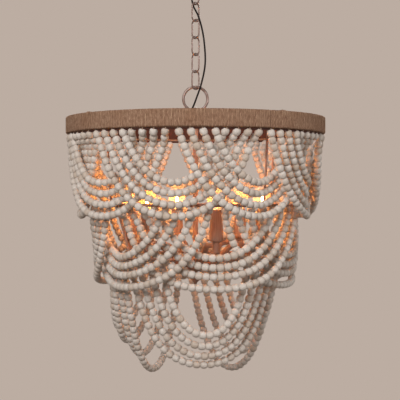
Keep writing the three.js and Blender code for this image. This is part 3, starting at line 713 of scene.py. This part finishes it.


# Steel frame
# A hub with four flat spokes carries the hoop inside the twine; rods lead down to the middle and lower hoops.
# Mild steel strip and rod, welded and sprayed in satin clay brown; the hoop inside is painted near
# black-brown, as painted shade for the shadow inside the band.
def block(size, place, bevel, turn):
    """A box with rounded edges, turned round the Z axis in degrees."""
    deselect()
    bpy.ops.mesh.primitive_cube_add(size=1, location=place)
    piece = bpy.context.object
    piece.scale = size
    bpy.ops.object.transform_apply(location=True, rotation=True, scale=True)
    edges = piece.modifiers.new("edges", "BEVEL")
    edges.width = bevel
    edges.segments = 3
    bpy.ops.object.modifier_apply(modifier="edges")
    piece.data.transform(Matrix.Rotation(math.radians(turn), 4, "Z"))
    return smooth_shade(piece)


shade_dark_primer, tree, shader = new_material("primed steel darkened as painted shade")
# Brown primer with jute dust on it, in blotches of 22 mm, matt; its red-brown is painted much darker as
# painted shade, for the shadow inside the band.
places = add_node(tree, "TexCoord")
clouds = add_node(tree, "TexNoise", [(places.outputs["Object"], "Vector")], in_Scale=45, in_Detail=5)
# the primer's colours are set far darker than primer is: painted shade for the inside of the band
primer_shade_ramp = add_node(tree, "ValToRGB", [(clouds.outputs["Fac"], "Fac")], [(0, "35150A"), (1, "46200F")])
dust = add_node(tree, "Bump", [(clouds.outputs["Fac"], "Height")], in_Strength=0.3, in_Distance=0.0006)
tree.links.new(primer_shade_ramp.outputs["Color"], shader.inputs["Base Color"])
tree.links.new(dust.outputs["Normal"], shader.inputs["Normal"])
shader.inputs["Roughness"].default_value = 0.85

hub_radius, hub_depth, hub_bore, hub_edge = 0.022, 0.012, 0.003, 0.001
hub_bottom = hub_top - hub_depth
spoke_level = hub_top - hub_depth / 2
spoke_start, spoke_end = 0.02, band_inner + 0.001
spoke_width, spoke_thickness, spoke_edge = 0.012, 0.004, 0.0006
spoke_size = (spoke_width, spoke_end - spoke_start, spoke_thickness)
spoke_place = (0, -(spoke_start + spoke_end) / 2, spoke_level)
hoop_weld_size, hoop_weld_edge = (0.0125, 0.003, 0.0055), 0.0013
hoop_weld_place = (0, 0.0012 - band_inner, spoke_level)
hub = turned([(hub_bore, hub_top), (hub_radius - hub_edge, hub_top), (hub_radius, hub_top - hub_edge),
              (hub_radius, hub_bottom + hub_edge), (hub_radius - hub_edge, hub_bottom),
              (hub_bore, hub_bottom), (hub_bore, hub_top)], 64)
parts = [hub]
for k in range(4):
    parts.append(block(spoke_size, spoke_place, spoke_edge, spoke_angle + 90 * k))
    parts.append(block(hoop_weld_size, hoop_weld_place, hoop_weld_edge, spoke_angle + 90 * k))
finish_piece(joined(parts), "hub_and_spokes", clay_paint, "shade", "spider_hoop")
strip_top, strip_bottom = band_top - hoop_lip - seat_gap, band_bottom + hoop_lip + seat_gap
strip_outer = hoop_back - seat_gap
strip = turned([(band_inner, strip_top), (strip_outer, strip_top), (strip_outer, strip_bottom),
                (band_inner, strip_bottom), (band_inner, strip_top)], 128)
finish_piece(strip, "hoop_strip", shade_dark_primer, "shade", "spider_hoop")


def rod(start, end, width):
    """A round rod between two points, with its ends rounded off."""
    length, r = (end - start).length, width / 2
    rim = r * 0.25
    piece = turned([(0, 0), (r - rim, 0), (r, rim), (r, length - rim), (r - rim, length), (0, length)], 20)
    turn = (end - start).to_track_quat("Z", "Y").to_matrix().to_4x4()
    piece.data.transform(Matrix.Translation(start) @ turn)
    return piece


def on_hoop(tier, angle):
    """The point where a rod's foot meets the top of a tier's hoop."""
    return around(tier["radius"], tier["hoop"] + tier["wire"] / 2 + seat_gap, angle)


upper_tier, middle_tier, lower_tier = bead_tiers
strut_width, strut_inset = 0.0045, 0.034
strut_top = spoke_level - spoke_thickness / 2 - 2 * seat_gap
for k in range(4):
    angle = math.radians(spoke_angle + 90 * k)
    head = around(upper_tier["radius"] - strut_inset, strut_top, angle)
    strut = rod(head, on_hoop(middle_tier, angle), strut_width)
    finish_piece(strut, f"upper_rod_{k + 1}", clay_paint, "shade", f"upper_strut_{k + 1}")
# The heads of the lower rods are welded to the inside of the middle hoop.
inner_side = middle_tier["radius"] - middle_tier["wire"] / 2 - strut_width / 2 - 2 * seat_gap
for k in range(3):
    angle = math.radians(71.5 + 120 * k)
    head = around(inner_side, middle_tier["hoop"], angle)
    strut = rod(head, on_hoop(lower_tier, angle), strut_width)
    finish_piece(strut, f"lower_rod_{k + 1}", clay_paint, "shade", f"lower_strut_{k + 1}")

cotton, tree, shader = new_material("waxed cotton string")
# Twisted cotton in a tan shade, waxed, with plies of 0.7 mm.
places = add_node(tree, "TexCoord")
plies = add_node(tree, "TexNoise", [(places.outputs["Object"], "Vector")], in_Scale=1400, in_Detail=3)
tan = add_node(tree, "ValToRGB", [(plies.outputs["Fac"], "Fac")], [(0, "7E6350"), (1, "B39A84")])
twist = add_node(tree, "Bump", [(plies.outputs["Fac"], "Height")], in_Strength=0.4, in_Distance=0.0002)
tree.links.new(tan.outputs["Color"], shader.inputs["Base Color"])
tree.links.new(twist.outputs["Normal"], shader.inputs["Normal"])
shader.inputs["Roughness"].default_value = 0.8
thread_width, thread_slack, knot_shift = 0.0011, 0.0004, 0.0006
for tier in bead_tiers:
    hoop = moved(torus(tier["radius"], tier["wire"], 144, 12), (0, 0, tier["hoop"]))
    # the upper hoop, inside the band, takes the primer painted dark as shade
    hoop_finish = shade_dark_primer if tier is upper_tier else clay_paint
    finish_piece(hoop, tier["name"] + "_hoop", hoop_finish, "shade", tier["name"])
    # each string's thread is knotted twice round the hoop, above its first and its last bead
    first_knots = [moved(torus(tier["wire"] / 2 + thread_slack, thread_width, 14, 6),
                         (shift, -tier["radius"], tier["hoop"]), (0, 90, 0))
                   for shift in (-knot_shift, knot_shift)]
    knots = []
    for centre, _, _ in tier["groups"]:
        for row in range(strings_in_group):
            for side in (1, -1):
                angle = centre + side * (tier["first_half"] + row * tier["half_step"])
                knots += [copied(knot, angle) for knot in first_knots]
    for knot in first_knots:
        discard(knot)
    finish_piece(joined(knots), tier["name"] + "_knots", cotton, "shade", tier["name"])


# Lamps
# A stem under the hub carries a turned body with six curved arms. Each arm ends in a holder with a painted
# card sleeve and a clear candle bulb, whose small filament is lit.
sleeve_paint, tree, shader = new_material("clay-painted card sleeve")
# Rolled card with brushed matt paint: faint upright brush marks, 2.4 mm wide and 24 mm tall.
places = add_node(tree, "TexCoord")
long_way = add_node(tree, "Mapping", [(places.outputs["Object"], "Vector")], in_Scale=(1, 1, 0.1))
brush = add_node(tree, "TexNoise", [(long_way.outputs["Vector"], "Vector")], in_Scale=420, in_Detail=4)
card = add_node(tree, "ValToRGB", [(brush.outputs["Fac"], "Fac")], [(0.3, "93705E"), (0.7, "AC8976")])
marks = add_node(tree, "Bump", [(brush.outputs["Fac"], "Height")], in_Strength=0.25, in_Distance=0.0003)
tree.links.new(card.outputs["Color"], shader.inputs["Base Color"])
tree.links.new(marks.outputs["Normal"], shader.inputs["Normal"])
shader.inputs["Roughness"].default_value = 0.7

clear_glass, tree, shader = new_material("clear bulb glass")
# Thin blown glass: nearly clear and faintly warm, in waves of 11 mm.
places = add_node(tree, "TexCoord")
waves = add_node(tree, "TexNoise", [(places.outputs["Object"], "Vector")], in_Scale=90, in_Detail=2)
film = add_node(tree, "MapRange", [(waves.outputs["Fac"], "Value")], in_3=0.05, in_4=0.12)
warm = add_node(tree, "ValToRGB", [(waves.outputs["Fac"], "Fac")], [(0, "FFE6C2"), (1, "FFF3DF")])
tree.links.new(warm.outputs["Color"], shader.inputs["Base Color"])
tree.links.new(film.outputs["Result"], shader.inputs["Alpha"])
shader.inputs["Roughness"].default_value = 0.2

glow, tree, shader = new_material("glowing filament")
# Tungsten at a low setting: orange, a little paler in spots of 3 mm along the coil.
places = add_node(tree, "TexCoord")
heat = add_node(tree, "TexNoise", [(places.outputs["Object"], "Vector")], in_Scale=300, in_Detail=1)
orange = add_node(tree, "ValToRGB", [(heat.outputs["Fac"], "Fac")], [(0, "FF9A40"), (1, "FFA64C")])
tree.links.new(orange.outputs["Color"], shader.inputs["Emission Color"])
tree.links.new(orange.outputs["Color"], shader.inputs["Base Color"])
shader.inputs["Emission Strength"].default_value = 820

brass, tree, shader = new_material("plain brass bulb cap")
# Rolled brass, dulled by a slight tarnish in clouds of 4.5 mm.
places = add_node(tree, "TexCoord")
tarnish = add_node(tree, "TexNoise", [(places.outputs["Object"], "Vector")], in_Scale=220, in_Detail=3)
metal = add_node(tree, "ValToRGB", [(tarnish.outputs["Fac"], "Fac")], [(0, "9C8152"), (1, "C2A874")])
tree.links.new(metal.outputs["Color"], shader.inputs["Base Color"])
shader.inputs["Metallic"].default_value = 0.9
shader.inputs["Roughness"].default_value = 0.35

# The outlines of the turned pieces are radii with shares of the piece's height.
body_top, body_height, body_radius = -0.5839, 0.034, 0.016
body_rows = [(0.0035, 0), (0.008, 0), (0.0086, 0.04), (0.0092, 0.13), (0.0115, 0.22), (0.0148, 0.31),
             (body_radius, 0.39), (body_radius, 0.5), (0.0155, 0.53), (0.0155, 0.62), (body_radius, 0.65),
             (body_radius, 0.82), (0.0152, 0.87), (0.013, 0.93), (0.0102, 0.98), (0.0096, 1), (0.0035, 1),
             (0.0035, 0)]
hub_body = turned([(r, body_top - down * body_height) for r, down in body_rows], 64)
finish_piece(hub_body, "turned_body", clay_paint, "shade", "lamp_hub")
stem_radius, stem_bore = 0.005, 0.003
stem_top, stem_foot = hub_bottom - seat_gap, body_top + seat_gap
stem = turned([(stem_bore, stem_foot), (stem_radius, stem_foot), (stem_radius, stem_top),
               (stem_bore, stem_top), (stem_bore, stem_foot)], 32)
finish_piece(stem, "stem_tube", clay_paint, "shade", "centre_stem")
finial_top, finial_height = body_top - body_height - seat_gap, 0.026
finial_rows = [(0, 0), (0.0055, 0), (0.0053, 0.07), (0.005, 0.12), (0.0066, 0.19), (0.0088, 0.3),
               (0.0099, 0.42), (0.0097, 0.54), (0.0086, 0.66), (0.0062, 0.76), (0.0036, 0.84), (0.003, 0.9),
               (0.003, 0.93), (0.0026, 0.975), (0, 1)]
finial = turned([(r, finial_top - down * finial_height) for r, down in finial_rows], 48, 50)
finish_piece(finial, "turned_cap", clay_paint, "shade", "finial")

# One lamp is modelled round the Z axis and then copied to the six ends of the arms.
sleeve_top, sleeve_foot = -0.4964, -0.5536
sleeve_rows = [(0.0123, 0), (0.0135, 0), (0.0135, 0.03), (0.01335, 0.05), (0.0107, 0.93), (0.0105, 0.955),
               (0.0105, 1), (0.0093, 1), (0.0093, 0.955), (0.0123, 0)]
sleeve = turned([(r, sleeve_foot + up * (sleeve_top - sleeve_foot)) for r, up in sleeve_rows])
flange_radius, flange_height, ferrule_radius, ferrule_height = 0.0125, 0.0012, 0.007, 0.022
flange = sleeve_foot - seat_gap
ferrule = flange - flange_height - ferrule_height
mouth_drop, socket_depth = 0.003, 0.023
mouth = sleeve_top - mouth_drop
socket = mouth - socket_depth
holder = turned([(0, ferrule), (0.006, ferrule), (ferrule_radius, ferrule + 0.001),
                 (ferrule_radius, flange - 0.0042), (0.0085, flange - 0.0022),
                 (0.0117, flange - flange_height), (flange_radius, flange - 0.0009), (flange_radius, flange),
                 (0.0082, flange), (0.0082, mouth - 0.0006), (0.0078, mouth), (0.0066, mouth),
                 (0.0066, socket), (0, socket)])
bulb_height = 0.062
glass_rows = [(0.007, 0), (0.0071, 0.03), (0.0091, 0.06), (0.0125, 0.13), (0.0158, 0.22), (0.0172, 0.3),
              (0.0175, 0.38), (0.0168, 0.48), (0.0151, 0.6), (0.0122, 0.72), (0.0088, 0.84), (0.0058, 0.92),
              (0.0028, 0.975), (0, 1)]
glass = turned([(r, sleeve_top + up * bulb_height) for r, up in glass_rows], 40, 60)
cap_foot, cap_turns, cap_pitch = socket + seat_gap, 7, 0.0022
cap_rows = [(0, cap_foot), (0.0035, cap_foot), (0.0041, cap_foot + 0.001), (0.0056, cap_foot + 0.0024)]
for k in range(cap_turns):
    level = cap_foot + 0.003 + k * cap_pitch
    cap_rows += [(0.0059, level), (0.0055, level + cap_pitch / 2)]
cap_rows += [(0.0059, mouth), (0.0059, mouth + 0.0015), (0.0068, sleeve_top), (0, sleeve_top)]
cap = turned(cap_rows, 32)
coil_radius, coil_height, coil_turns, coil_steps, filament_radius = 0.0016, 0.012, 6, 60, 0.00055
coil_foot = sleeve_top + 0.012
coil_line = []
for k in range(coil_steps + 1):
    turn = 2 * math.pi * coil_turns * k / coil_steps
    coil_line.append(Vector((coil_radius * math.cos(turn), coil_radius * math.sin(turn),
                             coil_foot + coil_height * k / coil_steps)))
coil = tube(hose(coil_line, filament_radius, 6))
post_top = coil_foot - 0.001
post = turned([(0, sleeve_top), (0.0018, sleeve_top), (0.0012, post_top), (0, post_top)], 12)

lamp_count, first_lamp, lamp_circle = 6, 17, 0.133
arm_radius = 0.0055
arm_start = body_radius * math.cos(math.pi / 12) + seat_gap
arm_reach = lamp_circle - ferrule_radius - seat_gap - arm_start
arm_low = body_top - body_height * 0.6
arm_rise = sleeve_foot - 0.01 - arm_low
arm_shares = [(0, 0), (0.06, 0), (0.2, 0.12), (0.34, 0.46), (0.46, 0.8), (0.58, 0.96), (0.74, 1), (0.94, 1),
              (1, 1)]
arm_line = smooth_line([Vector((0, -arm_start - out * arm_reach, arm_low + up * arm_rise))
                        for out, up in arm_shares], 6)
arm = tube(hose(arm_line, arm_radius, 20))
bulb_pieces = [(glass, "glass", clear_glass), (cap, "cap", brass), (post, "post", clear_glass),
               (coil, "filament", glow)]
for k in range(1, lamp_count + 1):
    turn = first_lamp + 360 / lamp_count * (k - 1)
    at = around(lamp_circle, 0, math.radians(turn))
    finish_piece(copied(arm, turn), f"arm_tube_{k}", clay_paint, "shade", f"lamp_arm_{k}")
    finish_piece(copied(holder, turn, at), f"holder_body_{k}", clay_paint, "shade",
                 f"lampholder_{k}")
    finish_piece(copied(sleeve, turn, at), f"card_tube_{k}", sleeve_paint, "shade",
                 f"candle_sleeve_{k}")
    for first, label, finish in bulb_pieces:
        finish_piece(copied(first, turn, at), f"bulb_{label}_{k}", finish, f"bulb_{k}_body",
                     f"bulb_{k}")
for first in (arm, holder, sleeve, glass, cap, coil, post):
    discard(first)


# Cord grip
# A short black bush, pressed into the hub beside the eye, that holds the cord where it enters the shade.
grip_foot, grip_top, grip_radius, grip_neck = hub_top + seat_gap, hub_top + 0.008, 0.004, 0.0034
grip_place = (-0.0095, -0.011, 0)
grip = turned([(0, grip_foot), (grip_radius, grip_foot), (grip_radius, grip_foot + 0.003),
               (grip_neck, grip_foot + 0.0036), (grip_neck, grip_top - 0.001), (0.0028, grip_top),
               (0, grip_top)], 32)
finish_piece(moved(grip, grip_place), "grip_bush", black_pvc, "shade", "cord_grip")
